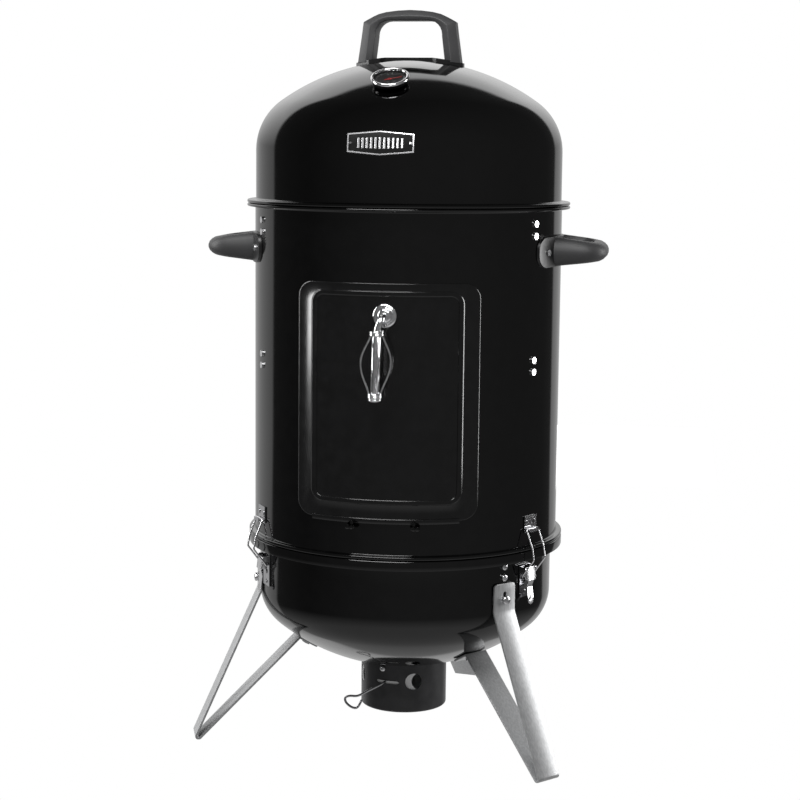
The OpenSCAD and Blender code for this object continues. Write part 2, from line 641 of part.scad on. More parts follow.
module latch_lever(az) color(steel) turn(az) difference() {
    union() {
        for (s = [-1, 1]) {
            radial_box(0, s * 9.75 - 0.75, s * 9.75 + 0.75, 213.6, 220.5, 255.5, 273);
            radial_box(0, s * 9.75 - 0.75, s * 9.75 + 0.75, 217.5, 220.5, 240, 256);
        }
        radial_box(0, -10.5, 10.5, 220, 221.5, 229, 273);
        translate([0, -221.5, 229]) rotate([-35, 0, 0]) translate([-8, -0.2, -9]) cube([16, 1.5, 10]);
    }
    translate([-20, -pivot_o, pivot_z]) rotate([0, 90, 0]) cylinder(h = 40, r = 2.03);
    translate([-20, -bail_o, bail_z]) rotate([0, 90, 0]) cylinder(h = 40, r = bail_wire_r + 0.05);
}
module latch_lever_right() latch_lever(bracket_az[0]);
module latch_lever_left() latch_lever(bracket_az[1]);
module latch_lever_rear() latch_lever(bracket_az[2]);
module latch_bail(az) color(steel) turn(az) union() {
    for (s = [-1, 1]) {
        translate([s > 0 ? 7.5 : -bail_half_w, -bail_o, bail_z]) rotate([0, 90, 0])
            cylinder(h = bail_half_w - 7.5, r = bail_wire_r);
        bent_rod([[s * bail_half_w, -bail_o, bail_z], [s * bail_half_w, -231, 284],
            [s * bail_half_w, -231, 303], [s * bail_half_w, -bar_o, bar_z]], bail_wire_r);
    }
    translate([-bail_half_w, -bar_o, bar_z]) rotate([0, 90, 0])
        cylinder(h = 2 * bail_half_w, r = bail_wire_r);
}
module latch_bail_right() latch_bail(bracket_az[0]);
module latch_bail_left() latch_bail(bracket_az[1]);
module latch_bail_rear() latch_bail(bracket_az[2]);

// ---------- damper ----------
module air_holes(turned) {
    for (a = air_hole_az) radial_bar(a + turned, air_hole_z, 40, 80, air_hole_r);
}
module damper_cup() color([0.15, 0.15, 0.16]) difference() {
    union() {
        tube(cup_r - sheet, cup_r, cup_z, 118);
        translate([0, 0, cup_z]) cylinder(h = sheet, r = cup_r);
    }
    translate([0, 0, bowl_floor_z]) sphere(r = bowl_floor_r + 0.1, $fn = 200);
    air_holes(0);
    translate([0, 0, slot_z - slot_half_h]) linear_extrude(2 * slot_half_h)
        polygon([[0, 0], for (a = [slot_az0, slot_az1]) [80 * sin(a), -80 * cos(a)]]);
}
module damper_ring() color(steel) difference() {
    tube(cup_r - 2 * sheet - gap, cup_r - sheet - gap, cup_z + sheet + gap, 101);
    air_holes(ring_turn);
    radial_bar(tail_az, slot_z, 50, 70, tail_r);
}
module damper_handle() color(steel) turn(tail_az) translate([0, 0, slot_z])
    bent_rod([[0, -(cup_r - 2 * sheet - gap), 0], [0, -72, 0], [-12, -84, -3], [-26, -90, -9], [-42, -86, -13],
        [-44, -80, -19], [-34, -78, -20], [-28, -84, -13]], tail_r);

// ---------- inside ----------
module bars(r, pitch, wire, z) {
    n = floor((r - pitch / 2) / pitch);
    for (i = [-n:n]) let (x = i * pitch, half = sqrt(r * r - x * x))
        translate([x, half, z]) rotate([90, 0, 0]) cylinder(h = 2 * half, r = wire, $fn = 16);
}
module grip_loop(x, z) {
    bent_rod([[x, -24, z], [x, -24, z + 26], [x, 24, z + 26], [x, 24, z]], grate_wire_r);
}
// rim wire with bars welded across its top
module cooking_grate(z) {
    ring_wire(grate_rim_r, z, grate_wire_r);
    bars(grate_rim_r, grate_pitch, bar_r, z + grate_wire_r + 0.7);
    for (s = [-1, 1]) grip_loop(s * 9 * grate_pitch, z + grate_wire_r + 0.7);
}
module upper_grate() color(steel) {
    cooking_grate(upper_ledge_z + gap + grate_wire_r);
}
module lower_grate() color(steel) {
    cooking_grate(lower_ledge_z + gap + grate_wire_r);
}
module water_pan() color(enamel) translate([0, 0, pan_ledge_z + gap]) {
    rotate_extrude($fn = 128) polygon([[0, -pan_depth], [150, -pan_depth], [pan_wall_r, -30], [pan_wall_r, 0],
        [pan_rim_r, 0], [pan_rim_r, 1.5], [pan_wall_r - 1.5, 1.5], [pan_wall_r - 1.5, -29.5],
        [149, 1.5 - pan_depth], [0, 1.5 - pan_depth]]);
}
module charcoal_grate() color(steel) {
    ring_wire(charcoal_rim_r, charcoal_ledge_z + gap + 3, 3);
    bars(charcoal_rim_r, 19, 2.5, charcoal_ledge_z + gap + 6.5);
}
module charcoal_ring() color(steel) difference() {
    tube(164, 165.2, charcoal_ledge_z + 9.8, charcoal_ledge_z + 149);
    for (row = [0:2], a = [0:20:340]) radial_bar(a + row * 10, charcoal_ledge_z + 42 + 33 * row, 155, 175, 8);
}

lid_shell();
lid_handle();
lid_handle_base();
lid_handle_screws();
lid_vent_disc();
lid_vent_rivet();
thermometer_case();
thermometer_bezel();
thermometer_dial();
thermometer_glass();
thermometer_needle();
thermometer_stem();
thermometer_nut();
nameplate();
nameplate_rivets();
barrel_shell();
side_handle_right();
side_handle_left();
side_handle_brackets();
side_handle_screws();
upper_grate_brackets();
lower_grate_brackets();
bracket_screws();
bracket_nuts();
latch_catches();
door_hinge_lugs();
door_hinge_pins();
door_panel();
handle_rosette();
handle_spindle();
handle_arm();
handle_collars();
handle_core();
handle_cage();
handle_cap();
latch_tongue();
bowl_shell();
leg_right();
leg_left();
leg_rear();
leg_bolts();
leg_nuts();
charcoal_brackets();
latch_bases();
latch_pins();
latch_rivets();
latch_lever_right();
latch_lever_left();
latch_lever_rear();
latch_bail_right();
latch_bail_left();
latch_bail_rear();
damper_cup();
damper_ring();
damper_handle();
charcoal_grate();
charcoal_ring();
water_pan();
lower_grate();
upper_grate();
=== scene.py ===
import json
import math
import bmesh
import bpy
from mathutils import Matrix, Vector

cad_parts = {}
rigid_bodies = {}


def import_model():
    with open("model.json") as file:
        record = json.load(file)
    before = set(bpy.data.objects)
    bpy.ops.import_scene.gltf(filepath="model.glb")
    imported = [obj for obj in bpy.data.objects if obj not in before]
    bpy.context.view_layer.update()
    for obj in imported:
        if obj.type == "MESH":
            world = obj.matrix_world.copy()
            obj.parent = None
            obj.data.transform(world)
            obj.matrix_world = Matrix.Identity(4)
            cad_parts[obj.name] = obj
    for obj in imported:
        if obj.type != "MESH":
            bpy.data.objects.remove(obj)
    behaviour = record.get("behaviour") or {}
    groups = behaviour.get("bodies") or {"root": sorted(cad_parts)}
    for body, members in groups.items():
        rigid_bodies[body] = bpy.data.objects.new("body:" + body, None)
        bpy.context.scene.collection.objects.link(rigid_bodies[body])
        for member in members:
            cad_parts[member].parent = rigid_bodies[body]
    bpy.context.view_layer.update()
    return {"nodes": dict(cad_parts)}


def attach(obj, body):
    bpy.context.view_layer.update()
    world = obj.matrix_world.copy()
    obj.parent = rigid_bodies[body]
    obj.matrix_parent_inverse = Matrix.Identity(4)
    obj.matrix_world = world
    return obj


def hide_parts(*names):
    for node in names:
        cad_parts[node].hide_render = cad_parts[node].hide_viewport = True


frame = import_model()

# ---- Firebox bowl ----
# Pressed steel bowl, 1.2 mm thick, glossy black enamel. Its wall turns out into a flat rim with a
# short skirt, which the barrel stands on. The floor has a round draught hole over the cup.
sheet = 0.0012


def arc(r, z, radius, start, end, steps=12):
    """Points on a bend in the radial plane, from one angle to another in degrees."""
    turns = [math.radians(start + (end - start) * i / steps) for i in range(steps + 1)]
    return [(r + radius * math.cos(t), z + radius * math.sin(t)) for t in turns]


def clear():
    if bpy.context.object and bpy.context.object.mode != "OBJECT":
        bpy.ops.object.mode_set(mode="OBJECT")
    bpy.ops.object.select_all(action="DESELECT")


def choose(piece):
    """Leaves this piece alone selected and active."""
    clear()
    piece.select_set(True)
    bpy.context.view_layer.objects.active = piece


def spun(name, section, steps=192, closed=True):
    """Draws a wall section of (radius, height) points, then spins it round the axis."""
    clear()
    r, z = section[0]
    bpy.ops.mesh.primitive_plane_add(size=0.001, location=(r, 0, z))
    bpy.ops.object.transform_apply(location=True, rotation=False, scale=False)
    bpy.ops.object.mode_set(mode="EDIT")
    bpy.ops.mesh.select_mode(type="VERT")
    bpy.ops.mesh.select_all(action="SELECT")
    bpy.ops.mesh.merge(type="CENTER")
    rest = section[1:] + section[:1] if closed else section[1:]
    for (ra, za), (rb, zb) in zip(section, rest):
        bpy.ops.mesh.extrude_region_move(TRANSFORM_OT_translate={"value": (rb - ra, 0, zb - za)})
    bpy.ops.mesh.select_all(action="SELECT")
    bpy.ops.mesh.spin(steps=steps, angle=2 * math.pi, center=(0, 0, 0), axis=(0, 0, 1))
    bpy.ops.mesh.select_all(action="SELECT")
    bpy.ops.mesh.remove_doubles(threshold=0.00001)
    bpy.ops.mesh.normals_make_consistent(inside=False)
    bpy.ops.object.mode_set(mode="OBJECT")
    piece = bpy.context.object
    piece.name = name
    return piece


def finish(name, dark, light, rough, grain=40, stretch=(1, 1, 1), bump=0.0, deep=0.0003, detail=4, **sockets):
    """A finish whose colour, roughness and relief all follow one grain."""
    material = bpy.data.materials.new(name)
    material.use_nodes = True
    nodes, links = material.node_tree.nodes, material.node_tree.links
    shader = nodes["Principled BSDF"]
    for socket, value in sockets.items():
        shader.inputs[socket.replace("_", " ")].default_value = value
    place = nodes.new("ShaderNodeTexCoord")
    mapping = nodes.new("ShaderNodeMapping")
    mapping.inputs["Scale"].default_value = stretch
    links.new(place.outputs["Object"], mapping.inputs["Vector"])
    noise = nodes.new("ShaderNodeTexNoise")
    noise.inputs["Scale"].default_value = grain
    noise.inputs["Detail"].default_value = detail
    links.new(mapping.outputs["Vector"], noise.inputs["Vector"])
    tint = nodes.new("ShaderNodeValToRGB")
    tint.color_ramp.elements[0].position = 0.35
    tint.color_ramp.elements[0].color = (*dark, 1)
    tint.color_ramp.elements[1].position = 0.65
    tint.color_ramp.elements[1].color = (*light, 1)
    links.new(noise.outputs["Fac"], tint.inputs["Fac"])
    links.new(tint.outputs["Color"], shader.inputs["Base Color"])
    gloss = nodes.new("ShaderNodeMapRange")
    gloss.inputs["To Min"].default_value, gloss.inputs["To Max"].default_value = rough
    links.new(noise.outputs["Fac"], gloss.inputs["Value"])
    links.new(gloss.outputs["Result"], shader.inputs["Roughness"])
    if bump:
        relief = nodes.new("ShaderNodeBump")
        relief.inputs["Strength"].default_value = bump
        relief.inputs["Distance"].default_value = deep
        links.new(noise.outputs["Fac"], relief.inputs["Height"])
        links.new(relief.outputs["Normal"], shader.inputs["Normal"])
    return material


def coat(piece, material):
    piece.data.materials.clear()
    piece.data.materials.append(material)


def fit(piece, body, slot, material, *nodes, angle=32):
    """Coats a finished piece, smooths it, and fixes it to the part of the frame it belongs to."""
    choose(piece)
    bpy.ops.object.transform_apply(location=True, rotation=True, scale=True)
    bpy.ops.object.shade_smooth_by_angle(angle=math.radians(angle))
    coat(piece, material)
    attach(piece, body)
    if nodes:
        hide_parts(*nodes)
    return piece


black_enamel = finish("black_enamel", (0.0010, 0.0010, 0.0011), (0.0022, 0.0022, 0.0023), (0.05, 0.11),
                      grain=55, bump=0.05, deep=0.0002, detail=3, Specular_IOR_Level=0.5)
bowl_radius, bowl_shoulder, bowl_base = 0.2098, 0.061, 0.2175
bowl_floor, bowl_middle = 0.294, 0.3968
bowl_join = 50.31
hole_turn = -90 + math.degrees(math.asin(0.050 / bowl_floor))


def bowl_skin(t):
    floor = arc(0, bowl_middle, bowl_floor - t, hole_turn, -bowl_join, 20)
    shoulder = arc(bowl_radius - bowl_shoulder, bowl_base, bowl_shoulder - t, -bowl_join, 0, 12)
    return floor + shoulder[1:]


bowl_rim = [(bowl_radius, 0.2935)] + arc(0.2131, 0.2935, 0.0033, 180, 90, 4)
bowl_rim += arc(0.2222, 0.2948, 0.002, 90, 0, 4) + [(0.2242, 0.2848)]
bowl_rim += arc(0.2248, 0.2848, 0.0006, 180, 360, 4) + arc(0.2222, 0.2948, 0.0032, 0, 90, 5)
bowl_rim += arc(0.2108, 0.2958, 0.0022, 90, 180, 4)
bowl = spun("bowl", bowl_skin(0) + bowl_rim + bowl_skin(sheet)[::-1])
fit(bowl, "stand", "black_enamel", black_enamel, "bowl_shell")

# ---- Legs ----
# Three V-shaped legs, each one length of galvanised strap 38.5 x 3 mm, folded at the foot. The long
# tab is bolted to the bowl's wall and the short one to its underside.
galvanised = finish("galvanised", (0.40, 0.404, 0.41), (0.50, 0.505, 0.51), (0.36, 0.46), grain=420,
                    stretch=(1, 1, 0.12), bump=0.04, deep=0.0001, detail=3, Metallic=0.5)
strap_line = ([(0.2116, 0.2554), (0.2116, 0.2176), (0.2122, 0.2140), (0.2136, 0.2108)]
              + arc(0.3015, 0.0046, 0.0035, 24.1, -134.9, 12)
              + [(0.1556, 0.1449), (0.1532, 0.1436), (0.1293, 0.1304)])


def rings(name, loops, joined=False):
    """A closed shape drawn ring by ring: a first loop is extruded, and each new loop set to its place."""
    clear()
    count = len(loops[0])
    bpy.ops.mesh.primitive_circle_add(vertices=count, radius=0.01)
    piece = bpy.context.object
    piece.name = name
    bpy.ops.object.mode_set(mode="EDIT")
    bpy.ops.mesh.select_mode(type="VERT")
    bpy.ops.mesh.select_all(action="SELECT")
    shape = bmesh.from_edit_mesh(piece.data)
    shape.verts.ensure_lookup_table()
    for vert, spot in zip(shape.verts, loops[0]):
        vert.co = spot
    for before, after in zip(loops, loops[1:]):
        bpy.ops.mesh.extrude_region_move(TRANSFORM_OT_translate={"value": (0, 0, 0)})
        shape = bmesh.from_edit_mesh(piece.data)
        shape.verts.ensure_lookup_table()
        fresh = [vert for vert in shape.verts if vert.select]
        for vert in fresh:
            vert.co = after[min(range(count), key=lambda i: math.dist(before[i], vert.co))]
    bpy.ops.mesh.select_all(action="DESELECT")
    bpy.ops.mesh.select_non_manifold()
    if joined:
        bpy.ops.mesh.bridge_edge_loops()
    else:
        bpy.ops.mesh.fill_holes(sides=0)
    bpy.ops.mesh.select_all(action="SELECT")
    bpy.ops.mesh.normals_make_consistent(inside=False)
    bpy.ops.object.mode_set(mode="OBJECT")
    return piece


def on_line(a, b, k):
    return tuple(p + (q - p) * k for p, q in zip(a, b))


def ribbon(name, line, width, thick, corner):
    """A strap drawn as an edge along its line, then given its thickness and soft edges."""
    clear()
    bpy.ops.mesh.primitive_plane_add(size=width, location=(0, -line[0][0], line[0][1]))
    bpy.ops.object.transform_apply(location=True, rotation=False, scale=False)
    bpy.ops.object.mode_set(mode="EDIT")
    bpy.ops.mesh.select_all(action="SELECT")
    bpy.ops.transform.resize(value=(1, 0, 1), center_override=(0, -line[0][0], line[0][1]))
    bpy.ops.mesh.remove_doubles(threshold=0.00001)
    bpy.ops.mesh.select_mode(type="EDGE")
    for (oa, za), (ob, zb) in zip(line, line[1:]):
        bpy.ops.mesh.extrude_region_move(TRANSFORM_OT_translate={"value": (0, oa - ob, zb - za)})
    bpy.ops.mesh.select_mode(type="VERT")
    bpy.ops.mesh.select_all(action="DESELECT")
    shape = bmesh.from_edit_mesh(bpy.context.object.data)
    for vert in shape.verts:
        if len(vert.link_edges) == 2:
            vert.select_set(True)
    shape.select_flush_mode()
    bpy.ops.mesh.bevel(offset=corner, segments=5, affect="VERTICES")
    bpy.ops.object.mode_set(mode="OBJECT")
    piece = bpy.context.object
    piece.name = name
    wall = piece.modifiers.new("wall", "SOLIDIFY")
    wall.thickness, wall.offset, wall.use_even_offset = thick, 0, True
    bpy.ops.object.modifier_apply(modifier="wall")
    soften(piece, 0.0005)
    return piece


def soften(piece, width, segments=2, angle=40):
    """Rounds every edge sharper than the angle."""
    choose(piece)
    edges = piece.modifiers.new("edges", "BEVEL")
    edges.width, edges.segments, edges.limit_method = width, segments, "ANGLE"
    edges.angle_limit = math.radians(angle)
    bpy.ops.object.modifier_apply(modifier="edges")


def cut(piece, tool):
    """Takes the tool's shape out of the piece."""
    choose(piece)
    opening = piece.modifiers.new("opening", "BOOLEAN")
    opening.operation, opening.object, opening.solver = "DIFFERENCE", tool, "EXACT"
    bpy.ops.object.modifier_apply(modifier="opening")
    bpy.data.objects.remove(tool)


def placed_copy(piece, name, rotation, location=(0, 0, 0)):
    """Another of a piece, with its own mesh, turned and moved."""
    choose(piece)
    bpy.ops.object.duplicate(linked=False)
    other = bpy.context.object
    other.name = name
    other.rotation_euler = rotation
    other.location = location
    bpy.ops.object.transform_apply(location=True, rotation=True, scale=True)
    return other


def copy_of(piece, name, turn):
    """A copy of a piece made at the front, turned about the barrel's axis."""
    return placed_copy(piece, name, (0, 0, math.radians(turn)))


def block(spot, sides, rounding, segments=2, turn=0.0):
    """A small block with its edges rounded."""
    clear()
    bpy.ops.mesh.primitive_cube_add(size=1, location=spot, rotation=(0, 0, turn), scale=sides)
    piece = bpy.context.object
    bpy.ops.object.transform_apply(location=True, rotation=True, scale=True)
    soften(piece, rounding, segments)
    return piece


def disc(spot, radius, depth, rotation, rounding, sides):
    """A small flat cylinder with its edges rounded."""
    clear()
    bpy.ops.mesh.primitive_cylinder_add(vertices=sides, radius=radius, depth=depth, location=spot,
                                        rotation=rotation)
    piece = bpy.context.object
    bpy.ops.object.transform_apply(location=True, rotation=True, scale=True)
    soften(piece, rounding)
    return piece


leg = ribbon("leg_pattern", strap_line, 0.0385, 0.003, 0.006)
bpy.ops.object.mode_set(mode="EDIT")
bpy.ops.mesh.select_all(action="SELECT")
bpy.ops.mesh.bisect(plane_co=(0, 0, 0.0002), plane_no=(0, 0, 1), use_fill=True, clear_inner=True)
bpy.ops.object.mode_set(mode="OBJECT")
cut(leg, block((0, -0.2116, 0.2375), (0.006, 0.02, 0.013), 0.0028, 4))
leg_turns = {"right": 48, "left": -72, "rear": 168}
for side, turn in leg_turns.items():
    fit(copy_of(leg, "strap_leg_" + side, turn), "stand", "leg_steel", galvanised, "leg_" + side)
bpy.data.objects.remove(leg)

# ---- Plated fittings ----
# Bolts, nuts and brackets are zinc-plated steel, stamped or turned. The latches' plates, pins,
# rivets and catches have a smoother, more polished plating.
zinc = finish("bright_zinc", (0.58, 0.58, 0.59), (0.72, 0.72, 0.73), (0.20, 0.30), grain=350, bump=0.015,
              deep=0.0001, Metallic=1.0)
polished = finish("polished_plating", (0.34, 0.34, 0.35), (0.46, 0.46, 0.47), (0.05, 0.11), grain=220,
                  Metallic=1.0)


def screw_head(name, radius, height):
    """A low domed screw head on the axis at the origin, cut with a cross recess."""
    dome = [(0, 0), (radius, 0), (radius, height * 0.35)]
    dome += [(radius * math.cos(t), height * (0.35 + 0.65 * math.sin(t)))
             for t in (math.radians(a) for a in (20, 38, 55, 72))]
    dome += [(0, height)]
    head = spun(name, dome, steps=32, closed=False)
    for turn in (0, 90):
        clear()
        bpy.ops.mesh.primitive_cube_add(size=1, location=(0, 0, height), rotation=(0, 0, math.radians(turn)),
                                        scale=(radius * 1.05, radius * 0.24, height * 0.9))
        cut(head, bpy.context.object)
    return head


def gather(name, pieces):
    """Joins loose pieces into one."""
    clear()
    for piece in pieces:
        piece.select_set(True)
    bpy.context.view_layer.objects.active = pieces[0]
    bpy.ops.object.join()
    bpy.context.object.name = name
    return bpy.context.object


def set_radially(pattern, name, turn, out, height):
    """A copy of a small part made on the origin, stood on the barrel or bowl facing outwards."""
    turned = math.radians(turn)
    spot = (out * math.sin(turned), -out * math.cos(turned), height)
    return placed_copy(pattern, name, (math.radians(90), 0, turned), spot)


for node in ("latch_bases", "latch_pins", "latch_rivets", "latch_catches"):
    coat(frame["nodes"][node], polished)
for node in ("leg_nuts", "leg_bolts", "charcoal_brackets", "upper_grate_brackets", "lower_grate_brackets",
             "bracket_nuts", "bracket_screws", "side_handle_screws", "latch_tongue", "lid_handle_screws",
             "thermometer_stem", "thermometer_nut"):
    coat(frame["nodes"][node], zinc)
leg_dome = screw_head("leg_dome", 0.0062, 0.0030)
small_dome = screw_head("small_dome", 0.0046, 0.0018)
domes = [set_radially(leg_dome, "dome", turn, 0.2166, 0.2324) for turn in leg_turns.values()]
domes += [set_radially(small_dome, "dome", turn, 0.2123, z)
          for turn in leg_turns.values() for z in (0.2629, 0.2784)]
bpy.data.objects.remove(leg_dome)
bpy.data.objects.remove(small_dome)
fit(gather("leg_screw_domes", domes), "stand", "zinc", zinc)


def rounded_path(points, radius, steps=5):
    """The same path with each corner turned on a small radius."""
    path = [points[0]]
    for a, b, c in zip(points, points[1:], points[2:]):
        reach = min(radius, math.dist(a, b) / 2.1, math.dist(b, c) / 2.1)
        start, end = on_line(b, a, reach / math.dist(a, b)), on_line(b, c, reach / math.dist(b, c))
        for i in range(steps + 1):
            k = i / steps
            path.append(on_line(on_line(start, b, k), on_line(b, end, k), k))
    return path + [points[-1]]


def smooth_path(points, steps=5):
    """A flowing curve through every point."""
    path = []
    ends = [points[0]] + list(points) + [points[-1]]
    for a, b, c, d in zip(ends, ends[1:], ends[2:], ends[3:]):
        for i in range(steps):
            k = i / steps
            path.append(tuple(0.5 * (2 * q + (r - p) * k + (2 * p - 5 * q + 4 * r - t) * k * k
                                     + (3 * q - p - 3 * r + t) * k ** 3) for p, q, r, t in zip(a, b, c, d)))
    return path + [points[-1]]


def wire(name, path, radius, sides=12):
    """Round wire bent along a path: a ring is extruded from point to point."""
    path = [Vector(point) for point in path]
    ahead = (path[1] - path[0]).normalized()
    side = ahead.orthogonal().normalized()
    loops = []
    for i, point in enumerate(path):
        before = path[i] - path[i - 1] if i else path[1] - path[0]
        after = path[i + 1] - path[i] if i + 1 < len(path) else before
        ahead = (before.normalized() + after.normalized()).normalized()
        side = (side - ahead * side.dot(ahead)).normalized()
        up = ahead.cross(side)
        loops.append([tuple(point + (side * math.cos(t) + up * math.sin(t)) * radius)
                      for t in (2 * math.pi * k / sides for k in range(sides))])
    return rings(name, loops)


# ---- Latches ----
# Three over-centre latches hold the barrel to the bowl. Each has a bent wire bail that hooks over a
# catch, and a stamped lever with a narrow tail and a round tip; both are bright zinc-plated.
bail_half, bail_pivot = 0.0136, (-0.2152, 0.2602)
bail_side = [bail_pivot, (-0.2345, 0.2860), (-0.2315, 0.3020), (-0.2215, 0.3270)]
bail_path = [(0.0075, *bail_pivot)] + [(bail_half, y, z) for y, z in bail_side]
bail_path += [(-bail_half, y, z) for y, z in bail_side[::-1]] + [(-0.0075, *bail_pivot)]
bail = wire("bail_pattern", rounded_path(bail_path, 0.0022, 4), 0.00125)
lever = ribbon("lever_pattern", [(0.2200, 0.2730), (0.2221, 0.2550), (0.2210, 0.2530), (0.2188, 0.2460),
                                 (0.2186, 0.2440), (0.2192, 0.2425), (0.2211, 0.2270)], 0.021, 0.0013, 0.002)
tail_top, tail_share = 0.2545, 0.60
for vert in lever.data.vertices:
    if vert.co.z < tail_top:
        vert.co.x *= tail_share
tip = disc((0, -0.2211, 0.2270), 0.0064, 0.0013, (math.radians(83), 0, 0), 0.0003, 48)
cheeks = [block((x, -0.2172, 0.2642), (0.0014, 0.0072, 0.0172), 0.0005) for x in (-0.00975, 0.00975)]
lever = gather("lever_pattern", [lever, tip] + cheeks)
for side, turn in (("right", 60), ("left", -60), ("rear", 180)):
    fit(copy_of(bail, "bail_" + side, turn), "bail_" + side, "zinc", zinc, "latch_bail_" + side)
    fit(copy_of(lever, "lever_" + side, turn), "lever_" + side, "zinc", zinc, "latch_lever_" + side)
bpy.data.objects.remove(bail)
bpy.data.objects.remove(lever)

# ---- Damper cup ----
# Spun steel cup in satin dark enamel, with a rolled bottom edge. Four air holes and a slot are cut
# through it; a ring turned by the wire handle covers the holes.
cup_enamel = finish("cup_enamel", (0.028, 0.028, 0.030), (0.040, 0.040, 0.042), (0.30, 0.42), grain=60,
                    bump=0.04, Specular_IOR_Level=0.5)
cup = spun("draught_cup", [(0, 0.0397)] + arc(0.0590, 0.0427, 0.003, -90, 0, 5) + [(0.062, 0.1092)]
           + [(0.0608, 0.1092)] + arc(0.0590, 0.0427, 0.0018, 0, -90, 4) + [(0, 0.0409)], steps=128)
for turn in (21, 111, 201, -69):
    clear()
    a = math.radians(turn)
    bpy.ops.mesh.primitive_cylinder_add(vertices=48, radius=0.012, depth=0.05,
                                        location=(0.06 * math.sin(a), -0.06 * math.cos(a), 0.0855),
                                        rotation=(math.radians(90), 0, a))
    cut(cup, bpy.context.object)
slot_height, slot_start, slot_sweep = 0.0836, -31.5, 33.4
slot_loops = []
for i in range(19):
    turn = math.radians(slot_start + slot_sweep * i / 18)
    tall = 0.0022 * math.sqrt(max(0.04, 1 - max(0, abs(i - 9) - 7.2) ** 2 / 3.3))
    slot_loops.append([(r * math.sin(turn), -r * math.cos(turn), slot_height + z)
                       for r, z in ((0.057, -tall), (0.066, -tall), (0.066, tall), (0.057, tall))])
cut(cup, rings("slot_tool", slot_loops))
fit(cup, "stand", "damper_enamel", cup_enamel, "damper_cup")
cup_screw = screw_head("cup_screw", 0.0042, 0.0034)
fit(gather("cup_screws", [set_radially(cup_screw, "screw", turn, 0.0619, 0.1030) for turn in (-21, 99, 219)]),
    "stand", "zinc", zinc)
bpy.data.objects.remove(cup_screw)
# The damper ring sits in the cup's shade. Its colour is painted near-white and barely metallic so that it
# shows bright through the holes: a painted highlight over the ring's own darker zinc.
painted_highlight_zinc = finish("painted_highlight_zinc", (0.80, 0.80, 0.80), (0.90, 0.90, 0.90), (0.40, 0.55), grain=300,
                   bump=0.02, Metallic=0.2)
coat(frame["nodes"]["damper_ring"], painted_highlight_zinc)
tail = wire("damper_wire", smooth_path([(0, -0.0595, 0), (0, -0.066, 0), (-0.004, -0.0715, -0.003),
                                        (-0.0180, -0.0790, -0.0110), (-0.0313, -0.0855, -0.0186),
                                        (-0.0425, -0.0890, -0.0195), (-0.0488, -0.0905, -0.0225),
                                        (-0.0482, -0.0905, -0.0290), (-0.0405, -0.0900, -0.0348),
                                        (-0.0330, -0.0885, -0.0362), (-0.0290, -0.0870, -0.0325),
                                        (-0.0255, -0.0845, -0.0240)], 6), 0.0017)
tail.rotation_euler = (0, 0, math.radians(-18))
tail.location = (0, 0, slot_height)
fit(tail, "damper", "zinc", polished, "damper_handle")

# ---- Charcoal grate, ring, water pan and cooking grates ----
# Loose inner parts: plated wire grates, a pierced steel ring for the coals and a deep enamelled pan.
grate_chrome = finish("grate_plating", (0.52, 0.52, 0.53), (0.70, 0.70, 0.71), (0.16, 0.30), grain=120,
                      Metallic=1.0)
pan_enamel = finish("pan_enamel", (0.006, 0.006, 0.0065), (0.010, 0.010, 0.011), (0.12, 0.24), grain=70,
                    bump=0.05)
for node in ("charcoal_grate", "lower_grate", "upper_grate"):
    coat(frame["nodes"][node], grate_chrome)
coat(frame["nodes"]["charcoal_ring"], galvanised)
coat(frame["nodes"]["water_pan"], pan_enamel)

# ---- Barrel ----
# Rolled sheet steel tube with a bead pressed into each end and a door opening cut in the front.
# Same glossy black enamel as the bowl.
barrel_radius = 0.217
wall = barrel_radius - sheet
barrel = spun("barrel", [(wall, 0.2983), (0.2232, 0.2983)] + arc(0.2232, 0.3005, 0.0022, -90, 0, 4)
              + arc(0.2232, 0.3013, 0.0022, 0, 90, 4) + arc(0.2192, 0.3057, 0.0022, -90, -180, 4)
              + [(barrel_radius, 0.45), (barrel_radius, 0.60)] + arc(0.2192, 0.7600, 0.0022, 180, 90, 4)
              + arc(0.2262, 0.7644, 0.0022, -90, 90, 6) + [(wall, 0.7666), (wall, 0.60), (wall, 0.45)],
              steps=256)
clear()
opening_low, opening_high = 0.3614, 0.6569
opening_half = barrel_radius * math.sin(math.radians(30.8))
bpy.ops.mesh.primitive_cube_add(size=1, location=(0, -0.2, (opening_low + opening_high) / 2),
                                scale=(2 * opening_half, 0.1, opening_high - opening_low))
opening_tool = bpy.context.object
bpy.ops.object.transform_apply(location=True, rotation=False, scale=True)
bpy.ops.object.mode_set(mode="EDIT")
bpy.ops.mesh.select_mode(type="EDGE")
bpy.ops.mesh.select_all(action="DESELECT")
shape = bmesh.from_edit_mesh(opening_tool.data)
for edge in shape.edges:
    if abs(edge.verts[0].co.y - edge.verts[1].co.y) > 0.05:
        edge.select_set(True)
bpy.ops.mesh.bevel(offset=0.014, segments=8, affect="EDGES")
bpy.ops.object.mode_set(mode="OBJECT")
cut(barrel, opening_tool)
fit(barrel, "stand", "black_enamel", black_enamel, "barrel_shell")

# ---- Screws on the barrel ----
# Domed cross-head machine screws hold the inside brackets, two over two in three columns.
screw_turns, screw_heights = (60, -60, 180), (0.7285, 0.745, 0.5437, 0.560)
screw = screw_head("screw_pattern", 0.0046, 0.0024)
screws = [set_radially(screw, "screw", turn, barrel_radius + 0.0001, z)
          for turn in screw_turns for z in screw_heights]
bpy.data.objects.remove(screw)
fit(gather("barrel_screws", screws), "stand", "zinc", zinc)

